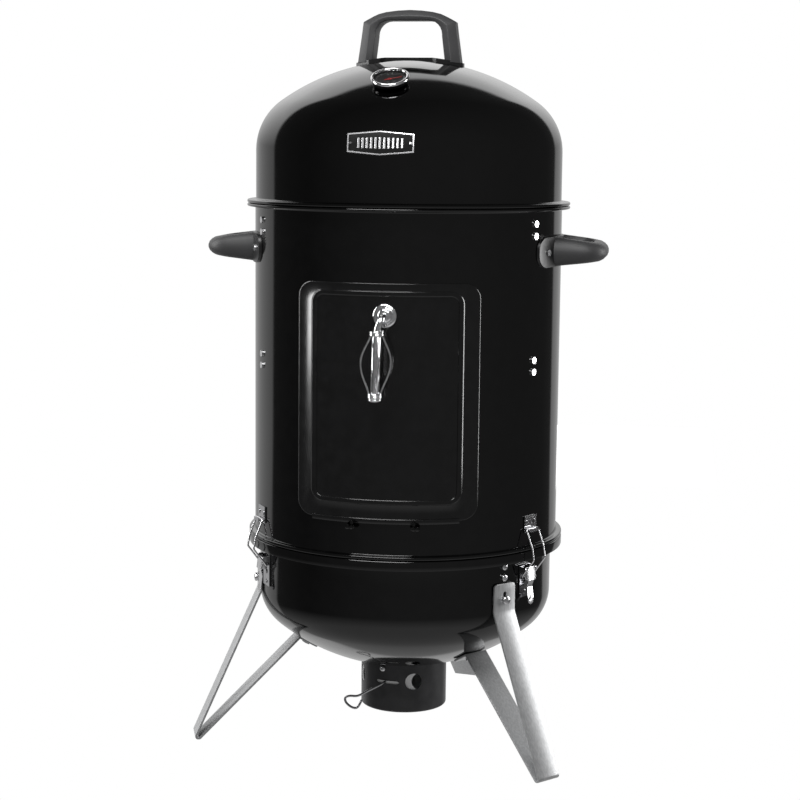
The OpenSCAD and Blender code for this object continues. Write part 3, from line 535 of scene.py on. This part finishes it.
# ---- Side handles ----
# D-shaped carrying loops moulded in dark heat-proof plastic, each on a curved black foot plate.
plastic = finish("moulded_plastic", (0.020, 0.020, 0.021), (0.032, 0.032, 0.033), (0.46, 0.60), grain=1400,
                 bump=0.25, deep=0.00012, detail=2, Specular_IOR_Level=0.45)
foot_plastic = finish("foot_plastic", (0.008, 0.008, 0.0085), (0.013, 0.013, 0.0135), (0.30, 0.42), grain=900,
                      bump=0.12, deep=0.0001, detail=2)
grip_inner = [(0.045, 0.2145), (0.045, 0.230)] + arc(0.027, 0.2430, 0.018, 0, 90, 7)
grip_outer = [(0.0645, 0.2095), (0.0642, 0.238)] + arc(0.030, 0.2490, 0.034, 0, 90, 7)
grip_path = list(zip(grip_inner, grip_outer))
grip_path += [((0.0135, 0.2612), (0.0145, 0.2833)), ((0.0, 0.2615), (0.0, 0.2838))]
grip_path += [((-xi, oi), (-xo, oo)) for (xi, oi), (xo, oo) in grip_path[-2::-1]]
grip_side = [(0.0, 0.45), (0.05, 0.78), (0.16, 0.97), (0.34, 1.0), (0.56, 0.96), (0.76, 0.80), (0.92, 0.52),
             (1.0, 0.16)]
grip_section = grip_side + [(k, -rise) for k, rise in grip_side[::-1]]
grip_loops = []
for inner, outer in grip_path:
    loop = []
    for k, rise in grip_section:
        x, o = on_line(inner, outer, k)
        out = (o - 0.210) / 0.075
        top, bottom = 0.7256 - 0.0092 * out, 0.6850 + 0.0082 * out
        loop.append((x, -o, (top + bottom) / 2 + rise * (top - bottom) / 2))
    grip_loops.append(loop)
grip = rings("grip_pattern", grip_loops)
for side, turn in (("right", 90), ("left", -90)):
    handle = copy_of(grip, "carry_handle_" + side, turn)
    fit(handle, "stand", "moulded_plastic", plastic, "side_handle_" + side)
bpy.data.objects.remove(grip)
coat(frame["nodes"]["side_handle_brackets"], foot_plastic)

# ---- Door ----
# Curved steel door in satin black enamel, hinged at its lower edge. A bead is pressed round the
# panel to stiffen it, and the bottom edge is hemmed.
door_enamel = finish("door_enamel", (0.0040, 0.0040, 0.0041), (0.0062, 0.0062, 0.0064), (0.14, 0.22),
                     grain=60, bump=0.05, deep=0.0002, detail=3)
coat(frame["nodes"]["door_hinge_lugs"], black_enamel)
coat(frame["nodes"]["door_hinge_pins"], black_enamel)
door_radius = 0.2185


def panel_loop(half, low, high, corner, lift):
    """A rounded rectangle laid on the barrel's curve; lift is its height off the door's face."""
    loop = []
    for x, z, start in ((half - corner, high - corner, 0), (corner - half, high - corner, 90),
                        (corner - half, low + corner, 180), (half - corner, low + corner, 270)):
        loop += arc(x, z, corner, start, start + 90, 8)
        if start in (0, 180):
            loop += [(x - 2 * x * i / 24, z + (corner if start == 0 else -corner)) for i in range(1, 24)]
        else:
            other = (low + high) - z
            loop += [(x + math.copysign(corner, x), z + (other - z) * i / 6) for i in range(1, 6)]
    return [(x, -math.sqrt((door_radius + lift) ** 2 - x * x), z) for x, z in loop]


door_half = door_radius * math.sin(math.radians(34.3))
bead_half = door_radius * math.sin(math.radians(28.2))
door_low, door_high, door_corner, edge_roll = 0.3504, 0.6689, 0.021, 0.0016
bead_low, bead_high, bead_width = 0.3720, 0.6590, 0.0088
panel = []
for i in range(7):
    t = math.radians(15 * i)
    inset = edge_roll * (1 - math.cos(t))
    panel.append(panel_loop(door_half - inset, door_low + inset, door_high - inset, door_corner - inset,
                            edge_roll * (math.sin(t) - 1) + 0.0003))
inset = 0.0034
panel.append(panel_loop(door_half - inset, door_low + inset, door_high - inset, door_corner - inset, 0.0))
for inset, lift in ((0.0, 0.0), (0.0005, 0.0003), (0.0008, 0.0009), (0.0013, 0.0015), (0.0021, 0.0018),
                    (0.0034, 0.0016), (0.0048, 0.0015), (0.0060, 0.0016), (0.0068, 0.0013), (0.0074, 0.0007),
                    (0.0078, 0.0002), (bead_width, 0.0)):
    panel.append(panel_loop(bead_half - inset, bead_low + inset, bead_high - inset, 0.018 - inset, lift))
inner_half, inner_low, inner_high = bead_half - bead_width, bead_low + bead_width, bead_high - bead_width
for i in range(1, 13):
    rest = 1 - i / 12.2
    panel.append(panel_loop(inner_half * rest, inner_low + 0.010 * i / 12, inner_high - 0.010 * i / 12,
                            max(0.0006, 0.0092 * rest) * 0.9, 0.0))
door = rings("door_sheet", panel)
bpy.ops.object.mode_set(mode="EDIT")
bpy.ops.mesh.select_mode(type="FACE")
bpy.ops.mesh.select_all(action="DESELECT")
shape = bmesh.from_edit_mesh(door.data)
shape.faces.ensure_lookup_table()
max(shape.faces, key=lambda face: (len(face.verts) > 4, face.calc_area())).select_set(True)
bpy.ops.mesh.delete(type="ONLY_FACE")
bpy.ops.object.mode_set(mode="OBJECT")
if sum(face.normal.y for face in door.data.polygons) > 0:
    door.data.flip_normals()
sheet_wall = door.modifiers.new("wall", "SOLIDIFY")
sheet_wall.thickness, sheet_wall.offset = 0.0009, -1
bpy.ops.object.modifier_apply(modifier="wall")
hem = []
for i in range(33):
    turn = math.radians(-27 + 54 * i / 32)
    section = arc(0.2188, door_low, 0.0019, 90, -90, 8)
    section = [(r, z + (0.0020 if n < 5 else -0.0020)) for n, (r, z) in enumerate(section)] + \
        [(0.2175, 0.3466), (0.2175, 0.3542)]
    hem.append([(r * math.sin(turn), -r * math.cos(turn), z) for r, z in section])
door_sheet = gather("door_panel_sheet", [door, rings("door_hem", hem)])
fit(door_sheet, "door", "door_enamel", door_enamel, "door_panel")
tabs = []
for x in (-0.042, 0.042):
    tabs.append(disc((x, -0.2235, 0.3425), 0.0036, 0.004, (0, math.radians(90), 0), 0.0004, 32))
    tabs.append(block((x, -0.2195, 0.3465), (0.004, 0.006, 0.009), 0.0004))
fit(gather("door_hinge_tabs", tabs), "door", "door_enamel", black_enamel)

# ---- Door handle ----
# Chrome-plated wire-cage grip on a bent arm from a round rose, with a core tube inside the cage.
chrome = finish("chrome", (0.66, 0.66, 0.67), (0.78, 0.78, 0.79), (0.10, 0.20), grain=160, Metallic=1.0)
coat(frame["nodes"]["handle_spindle"], chrome)
rose_height = 0.6262
rose_section = [(0, 0), (0.0158, 0), (0.0160, 0.0008), (0.0154, 0.0018), (0.0142, 0.0024), (0.0126, 0.0029),
                (0.0114, 0.0028), (0.0106, 0.0022), (0.0099, 0.0024), (0.0094, 0.0036), (0.0086, 0.0050),
                (0.0074, 0.0058), (0.0060, 0.0060), (0, 0.0060)]
rose = spun("handle_rose", rose_section, steps=64, closed=False)
rose.rotation_euler = (math.radians(90), 0, 0)
rose.location = (0, -0.2186, rose_height)
fit(rose, "door", "chrome", chrome, "handle_rosette", angle=50)
grip_top, grip_foot = Vector((-0.0065, -0.246, 0.609)), Vector((-0.0085, -0.246, 0.519))
neck_line = [(0, -0.2300, rose_height), (0, -0.2350, rose_height), (-0.0003, -0.2400, 0.6255),
             (-0.0012, -0.2440, 0.6228), (-0.0030, -0.2458, 0.6180), (-0.0050, -0.2460, 0.6125),
             tuple(grip_top + Vector((-0.0001, 0, -0.003)))]
arm = wire("handle_neck", smooth_path(neck_line, 5), 0.0046, 20)
fit(arm, "door_handle", "chrome", chrome, "handle_arm")


def collar(name, spot):
    """A turned collar with rounded shoulders and a groove round its middle."""
    section = [(0, 0), (0.0078, 0), (0.0092, 0.0006), (0.0100, 0.0018), (0.0101, 0.0030), (0.0095, 0.0038),
               (0.0095, 0.0043), (0.0101, 0.0051), (0.0100, 0.0063), (0.0092, 0.0074), (0.0078, 0.0080),
               (0, 0.0080)]
    ring = spun(name, section, steps=48, closed=False)
    ring.location = spot
    bpy.ops.object.transform_apply(location=True, rotation=True, scale=True)
    return ring


collars = gather("handle_collars_turned", [collar("collar", grip_top + Vector((0, 0, -0.008))),
                                           collar("collar", grip_foot)])
fit(collars, "door_handle", "chrome", chrome, "handle_collars", angle=50)
core = wire("handle_core_tube", [tuple(grip_top + Vector((-0.0002, 0, -0.008))), tuple(grip_foot)], 0.006, 40)
soften(core, 0.0004)
fit(core, "door_handle", "chrome", chrome, "handle_core")
cage = []
for turn in (20, 110, 200, 290):
    bars = []
    for i in range(25):
        k = i / 24
        bulge = 0.0084 + 0.0118 * math.sin(math.pi * k ** 0.92) ** 1.3
        drop = 0.601 - k * 0.074
        bars.append((-0.0065 - 0.002 * k + bulge * math.cos(math.radians(turn)),
                     -0.246 + bulge * math.sin(math.radians(turn)), drop))
    cage.append(wire("cage_wire", bars, 0.0013, 10))
fit(gather("handle_cage_wires", cage), "door_handle", "chrome", chrome, "handle_cage")
button_section = [(0, -0.0052), (0.0034, -0.0050), (0.0062, -0.0042), (0.0080, -0.0030), (0.0089, -0.0016),
                  (0.0090, -0.0004), (0.0086, 0), (0, 0)]
button = spun("handle_button", button_section, steps=48, closed=False)
button.location = grip_foot
fit(button, "door_handle", "chrome", chrome, "handle_cap", angle=50)

# ---- Lid ----
# Domed lid pressed from one sheet, glossy black enamel, with a rolled rim that rests on the barrel
# and a short lip that drops inside it.
lid_radius, lid_top, lid_shoulder, lid_crown = 0.216, 0.8405, 0.085, 0.311
crown_middle, lid_join = 0.65634, 54.5744


def lid_skin(t):
    crown = arc(0, crown_middle, lid_crown - t, 90, lid_join, 22)
    shoulder = arc(lid_radius - lid_shoulder, lid_top, lid_shoulder - t, lid_join, 0, 12)
    return [(0, crown[0][1])] + crown[1:] + shoulder[1:]


lid_rim = arc(0.2182, 0.7744, 0.0022, 180, 270, 4) + arc(0.2258, 0.7696, 0.0026, 90, -90, 6)
lid_lip = [(0.2148, 0.7670), (0.2148, 0.7580), (0.2136, 0.7580), (0.2136, 0.7722)]
lid = spun("lid", lid_skin(0) + lid_rim + lid_lip + lid_skin(sheet)[::-1], steps=256, closed=False)
fit(lid, "lid", "black_enamel", black_enamel, "lid_shell")

# ---- Lid handle ----
# Arched carrying handle moulded in dark plastic, with heavy chamfers front and back, screwed
# down through a thin base strip.
arch_inner = [(-0.0515, 0.964), (-0.0492, 0.982), (-0.0470, 1.0)] + \
    [(-x, z) for x, z in arc(0.0275, 1.0020, 0.0195, 0, 90, 6)] + [(-0.0140, 1.0215)]
arch_outer = [(-0.0734, 0.9625), (-0.0706, 0.982), (-0.0680, 1.0), (-0.0672, 1.006), (-0.0664, 1.0125),
              (-0.0655, 1.0195), (-0.0595, 1.0228), (-0.0520, 1.0268), (-0.0440, 1.0305), (-0.0330, 1.0332),
              (-0.0170, 1.0352)]
arch_path = list(zip(arch_inner, arch_outer)) + [((0.0, 1.0215), (0.0, 1.0360))]
arch_path += [((-xi, zi), (-xo, zo)) for (xi, zi), (xo, zo) in arch_path[-2::-1]]
arch_loops = []
for inner, outer in arch_path:
    ridge = on_line(inner, outer, 0.42)
    front = [(inner[0], -0.0155, inner[1]), (ridge[0], -0.0170, ridge[1]), (outer[0], -0.0095, outer[1])]
    arch_loops.append(front + [(x, -y, z) for x, y, z in front[::-1]])
arch = rings("arch_handle", arch_loops)
soften(arch, 0.0011, 3, 24)
arch.rotation_euler = (0, 0, math.radians(-2.4))
fit(arch, "lid", "moulded_plastic", plastic, "lid_handle")
coat(frame["nodes"]["lid_handle_base"], foot_plastic)

# ---- Thermometer ----
# Dial thermometer screwed through the crown: chrome bezel, gloss black case, dark dial, red pointer.
case_black = finish("case_black", (0.010, 0.010, 0.0105), (0.016, 0.016, 0.0165), (0.06, 0.12), grain=120)
dial_black = finish("dial_black", (0.010, 0.010, 0.010), (0.018, 0.018, 0.018), (0.4, 0.5), grain=300)
pointer_red = finish("pointer_red", (0.55, 0.012, 0.008), (0.68, 0.020, 0.012), (0.35, 0.45), grain=300)
glass = finish("dial_glass", (0.95, 0.96, 0.97), (0.98, 0.98, 0.99), (0.0, 0.02), grain=60,
               Transmission_Weight=1.0, IOR=1.45)
dial_tilt, lid_turn = math.radians(28.1), math.radians(-2.4)
dial_place = Matrix.Rotation(lid_turn, 4, "Z") @ Matrix.Translation((0, 0, crown_middle)) \
    @ Matrix.Rotation(dial_tilt, 4, "X") @ Matrix.Translation((0, 0, lid_crown))


def on_crown(piece):
    piece.matrix_world = dial_place @ piece.matrix_world
    return piece


case_section = [(0, 0.0008), (0.0150, 0.0008), (0.0205, 0.0012), (0.0232, 0.0024), (0.0243, 0.0044),
                (0.0244, 0.0068), (0.0228, 0.0068), (0.0228, 0.0030), (0, 0.0030)]
case = spun("dial_case", case_section, steps=96, closed=False)
fit(on_crown(case), "lid", "thermo_case", case_black, "thermometer_case")
bezel_section = [(0.0224, 0.0070), (0.0252, 0.0070), (0.0260, 0.0076), (0.0260, 0.0090), (0.0255, 0.0102),
                 (0.0245, 0.0109), (0.0234, 0.0109), (0.0225, 0.0104), (0.0222, 0.0096)]
bezel = spun("dial_bezel", bezel_section, steps=96)
fit(on_crown(bezel), "lid", "chrome", chrome, "thermometer_bezel", angle=50)
marks = []
for i in range(31):
    turn = math.radians(-150 + 10 * i)
    length = 0.0036 if i % 5 == 0 else 0.0020
    out = 0.0205 - length / 2
    spot = (out * math.sin(turn), out * math.cos(turn), 0.00492)
    marks.append(block(spot, (0.0005, length, 0.0002), 0.00005, 1, -turn))
dial_print = finish("dial_print", (0.45, 0.45, 0.45), (0.60, 0.60, 0.60), (0.5, 0.6), grain=400)
fit(on_crown(gather("dial_marks", marks)), "lid", "dial_black", dial_print)
coat(frame["nodes"]["thermometer_dial"], dial_black)
coat(frame["nodes"]["thermometer_needle"], pointer_red)
coat(frame["nodes"]["thermometer_glass"], glass)

# ---- Name plate and vent ----
# Small bright-rimmed plate with a dark field, two rivets and a row of plain upright bars. At the
# back of the lid a turning vent disc lets the smoke out.
plate_field = finish("plate_field", (0.006, 0.006, 0.006), (0.016, 0.016, 0.016), (0.28, 0.42), grain=900,
                     bump=0.2, deep=0.0001)
plate_silver = finish("plate_silver", (0.60, 0.60, 0.61), (0.74, 0.74, 0.75), (0.22, 0.34), grain=500,
                      Metallic=0.7)


def on_lid(x, z, lift):
    """A point on the lid's wall and shoulder, lifted off it, turned as the lid is."""
    wall_radius = lid_radius if z < lid_top else (lid_radius - lid_shoulder
                                                  + math.sqrt(lid_shoulder ** 2 - (z - lid_top) ** 2))
    y = -math.sqrt((wall_radius + lift) ** 2 - x * x)
    cos, sin = math.cos(lid_turn), math.sin(lid_turn)
    return (x * cos - y * sin, x * sin + y * cos, z)


plate_half, plate_mid, plate_end, plate_height = 0.0445, 0.0160, 0.0122, 0.8515


def plate_loop(inset, lift):
    """The plate's outline, pointed at the middle of its long sides, inset all round."""
    half, mid, end = plate_half - inset, plate_mid - inset, plate_end - inset
    loop = []
    corners = [(half, end), (0, mid), (-half, end), (-half, -end), (0, -mid), (half, -end)]
    for (xa, za), (xb, zb) in zip(corners, corners[1:] + corners[:1]):
        loop += [on_lid(xa + (xb - xa) * i / 10, plate_height + za + (zb - za) * i / 10, lift)
                 for i in range(10)]
    return loop


rim_steps = ((0.0, 0.0), (0.0, 0.0010), (0.0004, 0.0014), (0.0014, 0.0014), (0.0018, 0.0010),
             (0.0018, 0.0002))
rim = rings("plate_rim", [plate_loop(inset, lift) for inset, lift in rim_steps], joined=True)
fit(rim, "lid", "nameplate", plate_silver)
field_steps = ((0.0016, 0.0), (0.0016, 0.0006), (0.0060, 0.0006), (0.0110, 0.0006))
field = rings("plate_field", [plate_loop(inset, lift) for inset, lift in field_steps])
fit(field, "lid", "nameplate", plate_field, "nameplate")
fins = []
for n in range(-5, 6):
    fin = []
    for lift, shrink in ((0.0004, 0.0), (0.0010, 0.0), (0.0013, 0.0004)):
        x, tall = n * 0.0058, 0.0072 - abs(n) * 0.0002 - shrink
        wide = 0.0014 - shrink
        fin.append([on_lid(x + dx * wide, plate_height + dz * tall, lift)
                    for dx, dz in ((1, 1), (0, 1.06), (-1, 1), (-1, -1), (0, -1.06), (1, -1))])
    fins.append(rings("plate_fin", fin))
fit(gather("plate_fins", fins), "lid", "nameplate", plate_silver)
for node in ("nameplate_rivets", "lid_vent_disc", "lid_vent_rivet"):
    coat(frame["nodes"][node], zinc)

# ---- Studio ----
# White paper floor and a white sweep behind; the room on the near side is dark, as in a product
# studio. Each lamp lights only some of the pieces, so that the enamel shows the room and not lamps.
clear()
bpy.ops.mesh.primitive_plane_add(size=1, location=(0, 2.6, 0), scale=(7, 6.4, 1))
floor = bpy.context.object
bpy.ops.object.transform_apply(location=True, rotation=True, scale=True)
floor.name = "studio_floor"
paper = finish("paper_floor", (0.86, 0.86, 0.86), (0.88, 0.88, 0.88), (0.35, 0.45), grain=30)
paper.node_tree.nodes["Principled BSDF"].inputs["Emission Color"].default_value = (1, 1, 1, 1)
paper.node_tree.nodes["Principled BSDF"].inputs["Emission Strength"].default_value = 0.72
coat(floor, paper)

world = bpy.data.worlds.new("studio")
bpy.context.scene.world = world
world.use_nodes = True
air, wires = world.node_tree.nodes, world.node_tree.links
back = air["Background"]
back.inputs["Color"].default_value = (1, 1, 1, 1)
sky = air.new("ShaderNodeTexCoord")


def toward(heading, low, high, dim, bright):
    """Brightness that grows as a direction turns towards a heading."""
    facing = air.new("ShaderNodeVectorMath")
    facing.operation = "DOT_PRODUCT"
    facing.inputs[1].default_value = heading
    wires.new(sky.outputs["Generated"], facing.inputs[0])
    edge = air.new("ShaderNodeMapRange")
    edge.inputs["From Min"].default_value, edge.inputs["From Max"].default_value = low, high
    edge.inputs["To Min"].default_value, edge.inputs["To Max"].default_value = dim, bright
    wires.new(facing.outputs["Value"], edge.inputs["Value"])
    return edge.outputs["Result"]


def combined(operation, first, second):
    both = air.new("ShaderNodeMath")
    both.operation = operation
    wires.new(first, both.inputs[0])
    wires.new(second, both.inputs[1])
    return both.outputs[0]


sweep = math.radians(17.85)
white_sweep = combined("MULTIPLY", toward((-math.sin(sweep), math.cos(sweep), 0), 0.62, 0.66, 0.0, 1.0),
                       toward((0, 0, 1), 0.05, 0.45, 0.50, 1.60))
dark_side = combined("ADD", toward((0.5, -0.87, 0), -0.2, 0.9, 0.07, 0.19),
                     toward((0, 0, -1), 0.35, 0.7, 0.0, 0.42))
room = combined("ADD", white_sweep, dark_side)
path = air.new("ShaderNodeLightPath")
mix = air.new("ShaderNodeMix")
mix.data_type = "FLOAT"
wires.new(path.outputs["Is Camera Ray"], mix.inputs[0])
wires.new(room, mix.inputs[2])
mix.inputs[3].default_value = 1.0
wires.new(mix.outputs[0], back.inputs["Strength"])


def soft_box(name, spot, target, width, height, watts):
    """A square lamp hung at a spot and aimed at a point."""
    clear()
    bpy.ops.object.light_add(type="AREA", location=spot)
    lamp = bpy.context.object
    lamp.name = name
    lamp.data.shape, lamp.data.size, lamp.data.size_y, lamp.data.energy = "RECTANGLE", width, height, watts
    aim = [t - s for s, t in zip(spot, target)]
    flat = math.hypot(aim[0], aim[1])
    lamp.rotation_euler = (math.atan2(flat, -aim[2]), 0, math.atan2(-aim[0], aim[1]))
    return lamp


lit = bpy.data.collections.new("lit_by_lamps")
lit_from_above = bpy.data.collections.new("lit_from_above")
bright = bpy.data.collections.new("bright_fittings")
unlit = ("lid", "door_hinge_tabs", "door_hinge_lugs", "door_hinge_pins")
for piece in bpy.data.objects:
    if piece.type != "MESH":
        continue
    if piece.name not in unlit + ("barrel", "bowl"):
        lit.objects.link(piece)
    if piece.name not in unlit:
        lit_from_above.objects.link(piece)
    if piece.data.materials and piece.data.materials[0] in (zinc, chrome, plate_silver, plastic):
        bright.objects.link(piece)
for lamp, pieces in ((soft_box("overhead", (-0.5, -1.5, 3.0), (0, 0, 0.6), 1.8, 0.9, 60), lit_from_above),
                     (soft_box("key_left", (-2.6, -0.2, 1.3), (0, 0, 0.6), 0.6, 2.2, 60), lit),
                     (soft_box("fill_right", (2.5, 0.9, 0.8), (0, 0, 0.5), 0.7, 1.8, 45), lit),
                     (soft_box("front_high", (0.5, -2.5, 2.1), (0, 0, 0.5), 1.5, 0.8, 60), bright)):
    lamp.light_linking.receiver_collection = pieces

# ---- Camera ----
# A long lens slightly above the lid, a little to the right of the door.
bpy.context.scene.view_settings.view_transform = "Standard"
view_turn, view_distance, view_height = math.radians(7.85), 2.710, 0.8512
spot = (view_distance * math.sin(view_turn), -view_distance * math.cos(view_turn), view_height)
bpy.ops.object.camera_add(location=spot)
camera = bpy.context.object
camera.data.sensor_width = 36
camera.data.lens = 85.5252
pitch, yaw, roll = math.radians(-7.688), math.radians(-0.203), math.radians(0.582)
camera.rotation_mode = "QUATERNION"
heading = Matrix.Rotation(view_turn - yaw, 3, "Z")
tip = Matrix.Rotation(math.pi / 2 + pitch, 3, "X")
lean = Matrix.Rotation(roll, 3, "Z")
camera.rotation_quaternion = (heading @ tip @ lean).to_quaternion()
bpy.context.scene.camera = camera
